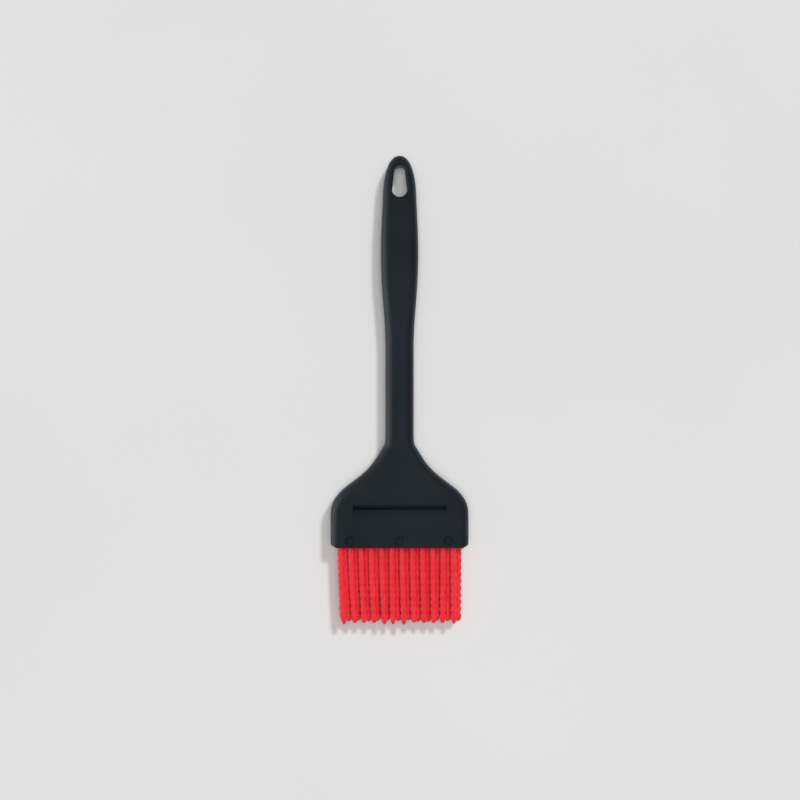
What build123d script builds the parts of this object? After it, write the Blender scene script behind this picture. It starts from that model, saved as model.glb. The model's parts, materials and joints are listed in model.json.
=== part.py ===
from build123d import *
import os

# A silicone pastry brush.  One nylon moulding is the handle: grip, neck and a wide flat head with a
# pocket open at its lower end.  Four identical silicone combs lie stacked in the pocket, every other
# one turned over so that its bristles stand in the gaps of its neighbours, and three staked pins
# hold them there.  Each comb is made here as its root bar, which the pins hold, and its free
# bristles, which bend about a line across the mouth of the pocket.
#
# Millimetres.  The brush lies on its back: +Y runs from the bristle tips to the hanging end, +X is
# across the head and +Z is up, out of the front face.  The origin is the middle of the footprint,
# on the surface that the brush lies on.

# Driving dimensions
LENGTH = 289.0
THICKNESS = 18.4
HEAD_WIDTH = 84.8
NECK_WIDTH = 17.4
NECK_THICKNESS = 12.4
GRIP_WIDTH = 23.0
GRIP_THICKNESS = 14.4
TIP_THICKNESS = 11.4
BRISTLE_LENGTH = 47.5
BRISTLE_DIAMETER = 3.7
BRISTLE_TIP_DIAMETER = 3.2
BRISTLES_PER_COMB = 12
BRISTLE_PITCH = 6.3
COMB_COUNT = 4
COMB_PITCH = 3.3
EDGE_ROUNDING = 4.6

# Places along the brush
TIP_Y = LENGTH / 2
MOUTH_Y = BRISTLE_LENGTH - LENGTH / 2
MID_Z = THICKNESS / 2

# Plan outline, from the mouth up: straight side, shoulder and flare, neck, then the grip's curve
SHOULDER_START_Y = -76.5
FLARE_POINTS = ((37.9, -64.3), (26.0, -54.4), (14.6, -42.5), (10.6, -36.0))
NECK_START_Y = -27.5
NECK_END_Y = 26.0
GRIP_SWELL = (10.8, 62.0)
GRIP_WIDEST_Y = 91.0
GRIP_TAPER = (10.35, 118.5)
TIP_SHOULDER = (8.9, 132.6)
MOUTH_CORNER_CUT = (3.6, 2.0)

# Side profile: flat head, taper to the neck, swell of the grip, thinner hanging end
HEAD_FLAT_END_Y = -67.0
NECK_THIN_Y = -32.0

# Hanging hole: an egg with its wide end towards the head
HOLE_WIDE = (4.7, 123.3)
HOLE_NARROW = (3.45, 134.6)
HOLE_ROUNDING = 1.2

# Rim rest: a long notch across the front of the head.  Its profile, as places along the brush and
# depths below the face: a steep upper wall, a narrow floor, a steep bank and a gentle ramp to the face.
NOTCH_HALF_LENGTH = 28.6
NOTCH_RIM_Y = -71.0
NOTCH_DEPTH = 3.0
NOTCH_FLOOR = ((-71.4, NOTCH_DEPTH), (-72.2, NOTCH_DEPTH))
NOTCH_RAMP_START = (-73.8, 1.2)
NOTCH_RAMP_END_Y = -77.0
NOTCH_RIM_ROUNDING = 0.35
NOTCH_FLOOR_ROUNDING = 0.25

# Pocket in the head
POCKET_WIDTH = 76.8
POCKET_HEIGHT = 14.2
POCKET_DEPTH = 13.2
POCKET_CORNER_RADIUS = 1.0
LIP_BEVEL = 0.8
LIP_ROUNDING = 0.6

# Comb: a root bar in the pocket, then bristles from a round web at the mouth
COMB_WIDTH = 76.0
ROOT_THICKNESS = 3.2
ROOT_GAP = 2.1
ROOT_DEPTH = 12.8
ROOT_CORNER_RADIUS = 1.0
WEB_DIAMETER = 1.4
COMB_OFFSET = BRISTLE_PITCH / 4

# Pins: a shaft through head and combs, with a flange and a boss staked in a recess at each face
PIN_COUNT = 3
PIN_PITCH = 30.1
PIN_Y = MOUTH_Y + 4.1
PIN_DIAMETER = 3.0
PIN_BORE = 3.1
RECESS_DIAMETER = 5.9
RECESS_DEPTH = 1.3
RECESS_BEVEL = 0.2
FLANGE_DIAMETER = 4.9
FLANGE_THICKNESS = 0.35
BOSS_DIAMETER = 4.0
BOSS_HEIGHT = 0.8
BOSS_ROUNDING = 0.25
PIN_NAMES = ("pin_left", "pin_middle", "pin_right")

# A plane along the brush's length through its middle: local x is +Y, local y is height from mid-depth
LENGTHWISE = Plane(origin=(0, 0, MID_Z), x_dir=(0, 1, 0), z_dir=(1, 0, 0))


def row_height(row):
    """Height of a comb's middle plane; row 1 is nearest the front face."""
    return MID_Z + (COMB_COUNT + 1 - 2 * row) * COMB_PITCH / 2


def row_offset(row):
    """Sideways place of a comb's bristles; a comb that is turned over has the other sign."""
    return -COMB_OFFSET if row % 2 else COMB_OFFSET


# Handle
with BuildPart() as handle:
    # Plan outline, full depth
    with BuildSketch(Plane.XY):
        with BuildLine():
            Line((0, MOUTH_Y), (HEAD_WIDTH / 2, MOUTH_Y))
            side = Line((HEAD_WIDTH / 2, MOUTH_Y), (HEAD_WIDTH / 2, SHOULDER_START_Y))
            flare = Spline(
                side @ 1,
                *FLARE_POINTS,
                (NECK_WIDTH / 2, NECK_START_Y),
                tangents=((0, 1), (0, 1)),
            )
            neck_side = Line(flare @ 1, (NECK_WIDTH / 2, NECK_END_Y))
            Spline(
                neck_side @ 1,
                GRIP_SWELL,
                (GRIP_WIDTH / 2, GRIP_WIDEST_Y),
                GRIP_TAPER,
                TIP_SHOULDER,
                (0, TIP_Y),
                tangents=((0, 1), (-1, 0)),
            )
            mirror(about=Plane.YZ)
        make_face()
    extrude(amount=THICKNESS)

    # Side profile, which thins the neck, the grip and the hanging end
    with BuildSketch(LENGTHWISE):
        with BuildLine():
            Line((MOUTH_Y, 0), (MOUTH_Y, THICKNESS / 2))
            flat = Line((MOUTH_Y, THICKNESS / 2), (HEAD_FLAT_END_Y, THICKNESS / 2))
            taper = Spline(flat @ 1, (NECK_THIN_Y, NECK_THICKNESS / 2), tangents=((1, 0), (1, 0)))
            neck = Line(taper @ 1, (NECK_END_Y, NECK_THICKNESS / 2))
            grip = Spline(
                neck @ 1,
                (GRIP_WIDEST_Y, GRIP_THICKNESS / 2),
                (TIP_Y, TIP_THICKNESS / 2),
                tangents=((1, 0), (1, -0.05)),
            )
            end = Line(grip @ 1, (TIP_Y + THICKNESS, TIP_THICKNESS / 2))
            Line(end @ 1, (TIP_Y + THICKNESS, 0))
            mirror(about=Plane.XZ)
        make_face()
    extrude(amount=HEAD_WIDTH, both=True, mode=Mode.INTERSECT)

    # Rounding all round the outline, front and back, except along the mouth
    walls = handle.faces().filter_by(lambda f: abs(f.normal_at().Z) < 0.01 and f.center().Y > MOUTH_Y + 1)
    rims = walls.edges().filter_by(lambda e: abs(e.tangent_at(0.5).Z) < 0.7)
    fillet(rims, EDGE_ROUNDING)
    fillet(handle.faces().sort_by(Axis.Y)[0].edges(), LIP_ROUNDING)

    # Slanting cuts at the two lower corners
    with BuildSketch(Plane.XY):
        with BuildLine():
            corner = Line((HEAD_WIDTH / 2 - MOUTH_CORNER_CUT[0], MOUTH_Y), (HEAD_WIDTH / 2, MOUTH_Y))
            Polyline(corner @ 1, (HEAD_WIDTH / 2, MOUTH_Y + MOUTH_CORNER_CUT[1]), corner @ 0)
        make_face()
        mirror(about=Plane.YZ)
    extrude(amount=THICKNESS, mode=Mode.SUBTRACT)

    # Pocket for the combs, with a bevelled lip
    with BuildSketch(Plane.XZ.offset(-MOUTH_Y)):
        with Locations((0, MID_Z)):
            RectangleRounded(POCKET_WIDTH, POCKET_HEIGHT, POCKET_CORNER_RADIUS)
    extrude(amount=-POCKET_DEPTH, mode=Mode.SUBTRACT)
    with BuildSketch(LENGTHWISE):
        with BuildLine():
            Polyline(
                (MOUTH_Y, POCKET_HEIGHT / 2 + LIP_BEVEL),
                (MOUTH_Y + LIP_BEVEL, POCKET_HEIGHT / 2),
                (MOUTH_Y + LIP_BEVEL, -POCKET_HEIGHT / 2),
                (MOUTH_Y, -POCKET_HEIGHT / 2 - LIP_BEVEL),
                close=True,
            )
        make_face()
    extrude(amount=POCKET_WIDTH / 2, both=True, mode=Mode.SUBTRACT)

    # Notch across the front face
    with BuildSketch(LENGTHWISE):
        with BuildLine():
            profile = [(y, THICKNESS / 2 - depth) for y, depth in (*NOTCH_FLOOR, NOTCH_RAMP_START)]
            notch_line = FilletPolyline(
                (NOTCH_RIM_Y, THICKNESS / 2),
                *profile,
                (NOTCH_RAMP_END_Y, THICKNESS / 2),
                radius=NOTCH_FLOOR_ROUNDING,
            )
            above = THICKNESS / 2 + NOTCH_DEPTH
            Polyline(notch_line @ 1, (NOTCH_RAMP_END_Y, above), (NOTCH_RIM_Y, above), notch_line @ 0)
        make_face()
    extrude(amount=NOTCH_HALF_LENGTH, both=True, mode=Mode.SUBTRACT)
    crosswise = handle.edges().filter_by(Axis.X).filter_by(lambda e: e.length > NOTCH_HALF_LENGTH)
    upper_rim = crosswise.filter_by(lambda e: abs(e.center().Y - NOTCH_RIM_Y) < 0.01)
    fillet(upper_rim, NOTCH_RIM_ROUNDING)

    # Hanging hole, rounded at both faces
    with BuildSketch(Plane.XY):
        for radius, hole_y in (HOLE_WIDE, HOLE_NARROW):
            with Locations((0, hole_y)):
                Circle(radius)
        make_hull()
    extrude(amount=THICKNESS, mode=Mode.SUBTRACT)
    hole_walls = handle.faces().filter_by(
        lambda f: abs(f.normal_at().Z) < 0.01
        and abs(f.center().X) <= HOLE_WIDE[0]
        and HOLE_WIDE[1] - HOLE_WIDE[0] <= f.center().Y <= HOLE_NARROW[1] + HOLE_NARROW[0]
    )
    hole_rims = hole_walls.edges().filter_by(lambda e: abs(e.tangent_at(0.5).Z) < 0.7)
    fillet(hole_rims, HOLE_ROUNDING)

    # Three pin bores through both walls, each with a recess at front and back
    for face_z, inwards in ((THICKNESS, -1), (0, 1)):
        with BuildSketch(Plane.XY.offset(face_z)):
            with Locations((0, PIN_Y)):
                with GridLocations(PIN_PITCH, 1, PIN_COUNT, 1):
                    Circle(RECESS_DIAMETER / 2)
        extrude(amount=inwards * RECESS_DEPTH, mode=Mode.SUBTRACT)
    with BuildSketch(Plane.XY):
        with Locations((0, PIN_Y)):
            with GridLocations(PIN_PITCH, 1, PIN_COUNT, 1):
                Circle(PIN_BORE / 2)
    extrude(amount=THICKNESS, mode=Mode.SUBTRACT)
    recess_edges = handle.edges().filter_by(GeomType.CIRCLE)
    recess_edges = recess_edges.filter_by(lambda e: abs(e.radius - RECESS_DIAMETER / 2) < 0.01)
    recess_rims = recess_edges.group_by(Axis.Z)
    chamfer(recess_rims[0] + recess_rims[-1], RECESS_BEVEL)


def comb_root(row):
    """The flat bar of one comb, which lies in the pocket with three holes for the pins."""
    with BuildPart() as root:
        with BuildSketch(Plane.XY.offset(row_height(row) - ROOT_THICKNESS / 2)):
            with Locations((0, MOUTH_Y + (ROOT_GAP + ROOT_DEPTH) / 2)):
                RectangleRounded(COMB_WIDTH, ROOT_DEPTH - ROOT_GAP, ROOT_CORNER_RADIUS)
            with Locations((0, PIN_Y)):
                with GridLocations(PIN_PITCH, 1, PIN_COUNT, 1):
                    Circle(PIN_BORE / 2, mode=Mode.SUBTRACT)
        extrude(amount=ROOT_THICKNESS)
    return root


def comb_bristles(row):
    """The free bristles of one comb, joined by the web that the whole row bends about."""
    bend_line = (row_offset(row), MOUTH_Y, row_height(row))
    with BuildPart() as bristles:
        with Locations(bend_line):
            Cylinder(WEB_DIAMETER / 2, (BRISTLES_PER_COMB - 1) * BRISTLE_PITCH, rotation=(0, 90, 0))
            with GridLocations(BRISTLE_PITCH, 1, BRISTLES_PER_COMB, 1):
                add(bristle.part)
    return bristles


def pin(centre_x):
    """A staked pin: shaft, and at each end a flange on the recess floor with a raised boss."""
    with BuildPart() as staked:
        with Locations((centre_x, PIN_Y, MID_Z)):
            Cylinder(PIN_DIAMETER / 2, THICKNESS - 2 * RECESS_DEPTH)
            for end in (-1, 1):
                with Locations((0, 0, end * (MID_Z - RECESS_DEPTH + FLANGE_THICKNESS / 2))):
                    Cylinder(FLANGE_DIAMETER / 2, FLANGE_THICKNESS)
                with Locations((0, 0, end * (MID_Z - RECESS_DEPTH + FLANGE_THICKNESS + BOSS_HEIGHT / 2))):
                    Cylinder(BOSS_DIAMETER / 2, BOSS_HEIGHT)
        boss_rims = staked.edges().filter_by(GeomType.CIRCLE).group_by(Axis.Z)
        fillet(boss_rims[0] + boss_rims[-1], BOSS_ROUNDING)
    return staked


# One bristle along -Y from the origin: round at the root, a slight taper, and a round tip
with BuildPart() as bristle:
    root_radius = BRISTLE_DIAMETER / 2
    tip_radius = BRISTLE_TIP_DIAMETER / 2
    with BuildSketch(Plane.XY):
        with BuildLine():
            back = CenterArc((0, 0), root_radius, 0, 90)
            flank = Line(back @ 0, (tip_radius, tip_radius - BRISTLE_LENGTH))
            tip = CenterArc((0, tip_radius - BRISTLE_LENGTH), tip_radius, -90, 90)
            Line(tip @ 0, back @ 1)
        make_face()
    revolve(axis=Axis.Y)


def save(piece, name):
    """Label one piece and write it to its own file."""
    piece.part.label = name
    export_step(piece.part, f"parts/{name}.step")


os.makedirs("parts", exist_ok=True)
save(handle, "handle")
for row in range(1, COMB_COUNT + 1):
    save(comb_root(row), f"comb_{row}_root")
    save(comb_bristles(row), f"comb_{row}_bristles")
for index, name in enumerate(PIN_NAMES):
    save(pin((index - 1) * PIN_PITCH), name)
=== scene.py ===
import json
import math
import random

import bpy
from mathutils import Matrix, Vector


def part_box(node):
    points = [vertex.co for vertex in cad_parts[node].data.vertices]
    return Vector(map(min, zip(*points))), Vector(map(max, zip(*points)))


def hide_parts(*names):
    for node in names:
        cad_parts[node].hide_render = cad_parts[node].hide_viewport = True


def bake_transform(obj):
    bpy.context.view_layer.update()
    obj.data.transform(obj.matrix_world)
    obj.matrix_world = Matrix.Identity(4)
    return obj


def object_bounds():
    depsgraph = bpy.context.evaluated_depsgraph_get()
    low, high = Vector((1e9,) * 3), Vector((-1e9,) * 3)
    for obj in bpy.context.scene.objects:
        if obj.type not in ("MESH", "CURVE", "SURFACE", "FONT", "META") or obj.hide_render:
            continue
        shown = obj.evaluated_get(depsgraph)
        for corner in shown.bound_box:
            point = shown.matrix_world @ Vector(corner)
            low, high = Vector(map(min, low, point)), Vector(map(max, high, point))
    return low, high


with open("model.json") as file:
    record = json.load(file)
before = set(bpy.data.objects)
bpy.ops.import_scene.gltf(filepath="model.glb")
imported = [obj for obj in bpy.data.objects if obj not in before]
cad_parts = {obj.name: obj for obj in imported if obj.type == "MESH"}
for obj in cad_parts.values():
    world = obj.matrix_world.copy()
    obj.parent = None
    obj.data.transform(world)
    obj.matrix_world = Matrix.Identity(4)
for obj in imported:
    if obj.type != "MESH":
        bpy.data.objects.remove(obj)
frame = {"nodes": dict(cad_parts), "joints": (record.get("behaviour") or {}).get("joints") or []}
CAD_LOW, CAD_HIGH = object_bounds()

# A silicone pastry brush on a pale floor.  Metres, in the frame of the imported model: the brush lies on
# its back, +Y runs from the bristle tips to the hanging end, and +Z is up, out of the front face.

MM = 0.001
LENGTH = CAD_HIGH.y - CAD_LOW.y

# Picture: the brush's length, and the height of the brush's middle above the picture's middle, both as
# shares of the picture's height, and how far the camera stands to the right of the brush's middle
LENGTH_SHARE = 0.5843
MIDDLE_SHARE = 0.0127
CAMERA_SIDE = 0.25 * MM
LENS_MM = 67.0
SENSOR_MM = 36.0
CLIP_START = 0.01
CLIP_END = 20.0

# Bristles: half-widths across and through the comb at root and tip, and the beads along their sides
ROWS = 4
BRISTLES = 12
PITCH = 6.3 * MM
ROOT_HALF_WIDTH = 1.78 * MM
TIP_HALF_WIDTH = 1.74 * MM
ROOT_HALF_DEPTH = 1.74 * MM
TIP_HALF_DEPTH = 1.42 * MM
BEAD_PITCH = 4.26 * MM
ROOT_BEAD_HEIGHT = 0.16 * MM
TIP_BEAD_HEIGHT = 0.42 * MM
ROOT_SINK = 0.3 * MM
TIP_TAPER = 2.6 * MM
RING_POINTS = 24
RINGS_PER_BEAD = 12
TIP_RINGS = 10

# How far each row's tips lean to the side and fall short of the longest, and the scatter of both.
# Bristles gather towards the comb's middle by a share of their distance from it, and a lean grows
# along a bristle as a power of the distance from its root.
ROW_LEAN = (1.0 * MM, 0.4 * MM, 0.6 * MM, 0.3 * MM)
ROW_SHORTER = (0.0 * MM, 1.0 * MM, 0.5 * MM, 1.2 * MM)
SIDE_GATHER = 0.035
SIDE_LEAN = 0.55 * MM
DEPTH_LEAN = 0.22 * MM
LENGTH_SCATTER = 1.4 * MM
LEAN_POWER = 1.6
FIRST_SEED = 40

# Where a noise value starts and stops changing between a material's two colours
COLOUR_START = 0.3
COLOUR_STOP = 0.7

# Nylon: dark and light colours, noise scales, and the depth of the surface marks
HANDLE_DARK = (0.0036, 0.0078, 0.0110)
HANDLE_LIGHT = (0.0078, 0.0118, 0.0180)
PIN_DARK = (0.0040, 0.0076, 0.0104)
PIN_LIGHT = (0.0064, 0.0102, 0.0142)
NYLON_CLOUD_SCALE = 24.0
NYLON_MARK_SCALE = 420.0
NYLON_GRAIN_SCALE = 3200.0
NYLON_ROUGHNESS = (0.36, 0.50)
NYLON_BUMP = 0.02 * MM
NYLON_IOR = 1.5

# Silicone: the same, with the light that scatters inside it and its dusty sheen
SILICONE_DARK = (0.85, 0.030, 0.045)
SILICONE_LIGHT = (0.90, 0.040, 0.060)
SILICONE_CLOUD_SCALE = 160.0
SILICONE_SKIN_SCALE = 2600.0
SILICONE_ROUGHNESS = (0.34, 0.46)
SILICONE_BUMP = 0.012 * MM
SILICONE_IOR = 1.42
SCATTER_RADIUS = (1.0, 0.16, 0.14)
SCATTER_SCALE = 4.0 * MM
SHEEN_WEIGHT = 0.18
SHEEN_ROUGHNESS = 0.35
SHEEN_TINT = (1.0, 0.55, 0.60, 1.0)

# Floor: half its side in metres, and its matt, faintly clouded white
FLOOR_HALF_SIDE = 12.0
FLOOR_DARK = (0.74, 0.735, 0.73)
FLOOR_LIGHT = (0.77, 0.765, 0.76)
FLOOR_CLOUD_SCALE = 3.0
FLOOR_ROUGHNESS = 0.6

# World: the dim sky that lights the brush and shows in its gloss, and the backdrop for the camera
SKY_COLOUR = (0.92, 0.96, 1.0, 1.0)
SKY_STRENGTH = 0.20
BACKDROP_COLOUR = (0.74, 0.745, 0.75, 1.0)


def make_camera():
    """Straight above the brush, as far away as the lens needs."""
    picture_height = LENGTH / LENGTH_SHARE
    distance = picture_height * LENS_MM / SENSOR_MM
    data = bpy.data.cameras.new("camera")
    data.lens = LENS_MM
    data.sensor_width = SENSOR_MM
    data.clip_start = CLIP_START
    data.clip_end = CLIP_END
    camera = bpy.data.objects.new("camera", data)
    middle = (CAD_LOW + CAD_HIGH) / 2
    camera.location = middle + Vector((CAMERA_SIDE, -picture_height * MIDDLE_SHARE, distance))
    bpy.context.collection.objects.link(camera)
    bpy.context.scene.camera = camera


def add_node(material, kind):
    return material.node_tree.nodes.new(kind)


def link(material, source, target):
    material.node_tree.links.new(source, target)


def new_material(name):
    """A node material that holds only a Principled shader and its output."""
    material = bpy.data.materials.new(name)
    material.use_nodes = True
    material.node_tree.nodes.clear()
    output = add_node(material, "ShaderNodeOutputMaterial")
    shader = add_node(material, "ShaderNodeBsdfPrincipled")
    link(material, shader.outputs["BSDF"], output.inputs["Surface"])
    return material, shader


def coordinates(material, kind):
    return add_node(material, "ShaderNodeTexCoord").outputs[kind]


def noise(material, place, scale, detail=3.0, roughness=0.5):
    node = add_node(material, "ShaderNodeTexNoise")
    node.inputs["Scale"].default_value = scale
    node.inputs["Detail"].default_value = detail
    node.inputs["Roughness"].default_value = roughness
    link(material, place, node.inputs["Vector"])
    return node.outputs["Fac"]


def spread(material, value, least, most):
    """Maps a 0 to 1 value to the range least to most."""
    node = add_node(material, "ShaderNodeMapRange")
    node.inputs["To Min"].default_value = least
    node.inputs["To Max"].default_value = most
    link(material, value, node.inputs["Value"])
    return node.outputs["Result"]


def two_colours(material, value, dark, light):
    """Fades from dark to light as the value grows."""
    node = add_node(material, "ShaderNodeValToRGB")
    first, last = node.color_ramp.elements
    first.position = COLOUR_START
    first.color = (*dark, 1.0)
    last.position = COLOUR_STOP
    last.color = (*light, 1.0)
    link(material, value, node.inputs["Fac"])
    return node.outputs["Color"]


def bump(material, shader, heights):
    """Chains bump nodes, each a (height, distance in metres, strength)."""
    last = None
    for height, distance, strength in heights:
        node = add_node(material, "ShaderNodeBump")
        node.inputs["Distance"].default_value = distance
        node.inputs["Strength"].default_value = strength
        link(material, height, node.inputs["Height"])
        if last is not None:
            link(material, last, node.inputs["Normal"])
        last = node.outputs["Normal"]
    link(material, last, shader.inputs["Normal"])


def nylon(name, dark, light):
    """Moulded nylon: satin, with a fine spark-eroded grain and faint handling marks."""
    material, shader = new_material(name)
    place = coordinates(material, "Object")
    clouds = noise(material, place, NYLON_CLOUD_SCALE)
    marks = noise(material, place, NYLON_MARK_SCALE, detail=6.0, roughness=0.65)
    grain = noise(material, place, NYLON_GRAIN_SCALE, detail=2.0)
    link(material, two_colours(material, clouds, dark, light), shader.inputs["Base Color"])
    link(material, spread(material, marks, *NYLON_ROUGHNESS), shader.inputs["Roughness"])
    bump(material, shader, ((grain, NYLON_BUMP, 0.5), (marks, NYLON_BUMP, 0.15)))
    shader.inputs["IOR"].default_value = NYLON_IOR
    return material


def silicone(name):
    """Bright red silicone rubber: soft, slightly translucent, with a dry satin skin."""
    material, shader = new_material(name)
    place = coordinates(material, "UV")
    clouds = noise(material, place, SILICONE_CLOUD_SCALE)
    skin = noise(material, place, SILICONE_SKIN_SCALE, detail=2.0)
    colour = two_colours(material, clouds, SILICONE_DARK, SILICONE_LIGHT)
    link(material, colour, shader.inputs["Base Color"])
    link(material, spread(material, clouds, *SILICONE_ROUGHNESS), shader.inputs["Roughness"])
    bump(material, shader, ((skin, SILICONE_BUMP, 0.5),))
    shader.inputs["Subsurface Weight"].default_value = 1.0
    shader.inputs["Subsurface Radius"].default_value = SCATTER_RADIUS
    shader.inputs["Subsurface Scale"].default_value = SCATTER_SCALE
    shader.inputs["IOR"].default_value = SILICONE_IOR
    shader.inputs["Sheen Weight"].default_value = SHEEN_WEIGHT
    shader.inputs["Sheen Roughness"].default_value = SHEEN_ROUGHNESS
    shader.inputs["Sheen Tint"].default_value = SHEEN_TINT
    return material


def floor_material():
    """Matt white, with no gloss, so that the soft boxes leave no streak on it."""
    material, shader = new_material("pale_floor")
    clouds = noise(material, coordinates(material, "Object"), FLOOR_CLOUD_SCALE)
    link(material, two_colours(material, clouds, FLOOR_DARK, FLOOR_LIGHT), shader.inputs["Base Color"])
    shader.inputs["Roughness"].default_value = FLOOR_ROUGHNESS
    shader.inputs["Specular IOR Level"].default_value = 0.0
    return material


def make_floor():
    half = FLOOR_HALF_SIDE
    corners = [(-half, -half, 0), (half, -half, 0), (half, half, 0), (-half, half, 0)]
    mesh = bpy.data.meshes.new("floor")
    mesh.from_pydata(corners, [], [(0, 1, 2, 3)])
    floor = bpy.data.objects.new("floor", mesh)
    floor.data.materials.append(floor_material())
    bpy.context.collection.objects.link(floor)


def place_light(light, place):
    """Puts a light in the scene, aimed at the origin."""
    light.location = place
    light.rotation_euler = (-Vector(place)).to_track_quat("-Z", "Y").to_euler()
    bpy.context.collection.objects.link(light)


def make_soft_sun(name, direction, strength, spread_degrees):
    """Even soft light over the whole floor.  It shades and casts shadows, but adds no highlights."""
    data = bpy.data.lights.new(name, "SUN")
    data.energy = strength
    data.angle = math.radians(spread_degrees)
    light = bpy.data.objects.new(name, data)
    light.visible_glossy = False
    place_light(light, direction)


def make_soft_box(name, place, size, power, colour):
    """A panel beside the brush, which only adds gloss."""
    data = bpy.data.lights.new(name, "AREA")
    data.shape = "RECTANGLE"
    data.size, data.size_y = size
    data.energy = power
    data.color = colour
    light = bpy.data.objects.new(name, data)
    light.visible_diffuse = False
    place_light(light, place)


def make_world():
    """A dim sky, which the brush reflects, with a pale backdrop where the camera sees past the floor."""
    world = bpy.data.worlds.new("studio")
    world.use_nodes = True
    nodes = world.node_tree.nodes
    links = world.node_tree.links
    sky = nodes["Background"]
    sky.inputs["Color"].default_value = SKY_COLOUR
    sky.inputs["Strength"].default_value = SKY_STRENGTH
    backdrop = nodes.new("ShaderNodeBackground")
    backdrop.inputs["Color"].default_value = BACKDROP_COLOUR
    rays = nodes.new("ShaderNodeLightPath")
    choice = nodes.new("ShaderNodeMixShader")
    links.new(rays.outputs["Is Camera Ray"], choice.inputs["Fac"])
    links.new(sky.outputs["Background"], choice.inputs[1])
    links.new(backdrop.outputs["Background"], choice.inputs[2])
    links.new(choice.outputs["Shader"], nodes["World Output"].inputs["Surface"])
    bpy.context.scene.world = world


def make_lights():
    bpy.context.scene.view_settings.view_transform = "Standard"
    make_world()
    make_soft_sun("key", direction=(0.55, 0.75, 1.2), strength=1.40, spread_degrees=9.0)
    make_soft_sun("overhead", direction=(0.0, 0.0, 1.0), strength=1.45, spread_degrees=30.0)
    make_soft_box("soft_box", place=(-0.46, 0.02, 0.40), size=(0.35, 0.6), power=0.95,
                  colour=(0.88, 0.94, 1.0))
    make_soft_box("rim_strip", place=(-0.55, -0.05, 0.12), size=(0.9, 0.06), power=1.0,
                  colour=(0.90, 0.95, 1.0))


def bristle_rings(length):
    """(distance from the root, half-width, half-depth) of each ring along a bristle, tip last."""
    rings = []
    tip_start = length - TIP_TAPER
    count = round(tip_start / BEAD_PITCH * RINGS_PER_BEAD)
    for index in range(count + 1):
        along = tip_start * index / count
        share = along / length
        bead = 2 * abs(math.sin(math.pi * along / BEAD_PITCH)) - 1
        height = ROOT_BEAD_HEIGHT + (TIP_BEAD_HEIGHT - ROOT_BEAD_HEIGHT) * share
        half_width = ROOT_HALF_WIDTH + (TIP_HALF_WIDTH - ROOT_HALF_WIDTH) * share + height * bead
        half_depth = ROOT_HALF_DEPTH + (TIP_HALF_DEPTH - ROOT_HALF_DEPTH) * share
        rings.append((along, half_width, half_depth))
    width, depth = rings[-1][1:]
    for index in range(1, TIP_RINGS):
        angle = math.pi / 2 * index / TIP_RINGS
        narrowing = math.cos(angle)
        rings.append((tip_start + TIP_TAPER * math.sin(angle), width * narrowing, depth * narrowing))
    return rings


def bristle(root, length, lean, depth_lean, skin_start):
    """One bristle's points, faces and skin places, with a point at its tip and a flat face at its root.

    skin_start keeps the bristles apart on the flat skin that the material is laid out on."""
    points, faces, places = [], [], []
    rings = bristle_rings(length)
    for along, half_width, half_depth in rings:
        bend = (along / length) ** LEAN_POWER
        middle = root + Vector((lean * bend, -along, depth_lean * bend))
        for corner in range(RING_POINTS):
            angle = 2 * math.pi * corner / RING_POINTS
            points.append(middle + Vector((half_width * math.cos(angle), 0, half_depth * math.sin(angle))))
            places.append((skin_start + half_width * angle, along))
    tip = len(points)
    points.append(root + Vector((lean, -length, depth_lean)))
    places.append((skin_start, length))
    for ring in range(len(rings) - 1):
        start = ring * RING_POINTS
        for corner in range(RING_POINTS):
            a = start + corner
            b = start + (corner + 1) % RING_POINTS
            faces.append((a, b, b + RING_POINTS, a + RING_POINTS))
    last = tip - RING_POINTS
    for corner in range(RING_POINTS):
        faces.append((last + corner, last + (corner + 1) % RING_POINTS, tip))
    faces.append(tuple(reversed(range(RING_POINTS))))
    return points, faces, places


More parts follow.
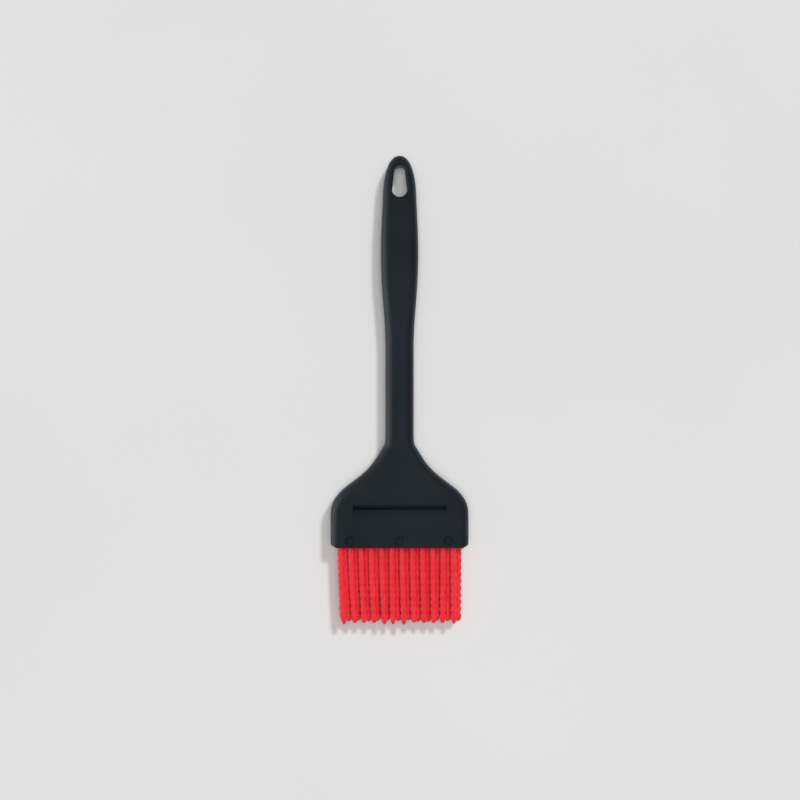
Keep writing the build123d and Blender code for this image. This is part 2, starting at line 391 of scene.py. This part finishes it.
def comb_mesh(row, pivot):
    """The twelve beaded bristles of one comb as one mesh, from inside its root bar to their tips."""
    low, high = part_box(f"comb_{row}_bristles")
    root_low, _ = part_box(f"comb_{row}_root")
    root_y = root_low.y + ROOT_SINK
    first_x = low.x + (high.x - low.x - (BRISTLES - 1) * PITCH) / 2
    draws = random.Random(FIRST_SEED + row)
    points, faces, places = [], [], []
    for index in range(BRISTLES):
        x = first_x + index * PITCH
        lean = ROW_LEAN[row - 1] - SIDE_GATHER * x + draws.uniform(-SIDE_LEAN, SIDE_LEAN)
        depth_lean = draws.uniform(-DEPTH_LEAN, DEPTH_LEAN)
        length = root_y - low.y - ROW_SHORTER[row - 1] - draws.uniform(0, LENGTH_SCATTER)
        root = Vector((x, root_y, pivot.z))
        new_points, new_faces, new_places = bristle(root, length, lean, depth_lean, index * PITCH)
        start = len(points)
        points.extend(new_points)
        faces.extend(tuple(start + corner for corner in face) for face in new_faces)
        places.extend(new_places)
    mesh = bpy.data.meshes.new(f"comb_{row}_silicone")
    mesh.from_pydata(points, [], faces)
    mesh.update()
    uv = mesh.uv_layers.new(name="UVMap")
    for loop in mesh.loops:
        uv.data[loop.index].uv = places[loop.vertex_index]
    mesh.shade_smooth()
    return mesh


def comb_bristles(row, material):
    """The bristles of one comb, rooted at the height of the comb's hinge."""
    joint = next(j for j in frame["joints"] if j["child"] == f"comb_{row}")
    pivot = Vector(joint["pos_m"])
    mesh = comb_mesh(row, pivot)
    mesh.materials.append(material)
    comb = bpy.data.objects.new(f"comb_{row}_silicone", mesh)
    bpy.context.collection.objects.link(comb)
    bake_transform(comb)
    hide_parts(f"comb_{row}_bristles")


def dress(node, material):
    """Gives a CAD node a finished material."""
    for slot in frame["nodes"][node].material_slots:
        slot.material = material


make_camera()
make_floor()
make_lights()
handle_nylon = nylon("handle_nylon_grain", HANDLE_DARK, HANDLE_LIGHT)
pin_nylon = nylon("pin_nylon_grain", PIN_DARK, PIN_LIGHT)
red_silicone = silicone("red_silicone_skin")
dress("handle", handle_nylon)
for pin in ("pin_left", "pin_middle", "pin_right"):
    dress(pin, pin_nylon)
for row in range(1, ROWS + 1):
    dress(f"comb_{row}_root", red_silicone)
    comb_bristles(row, red_silicone)
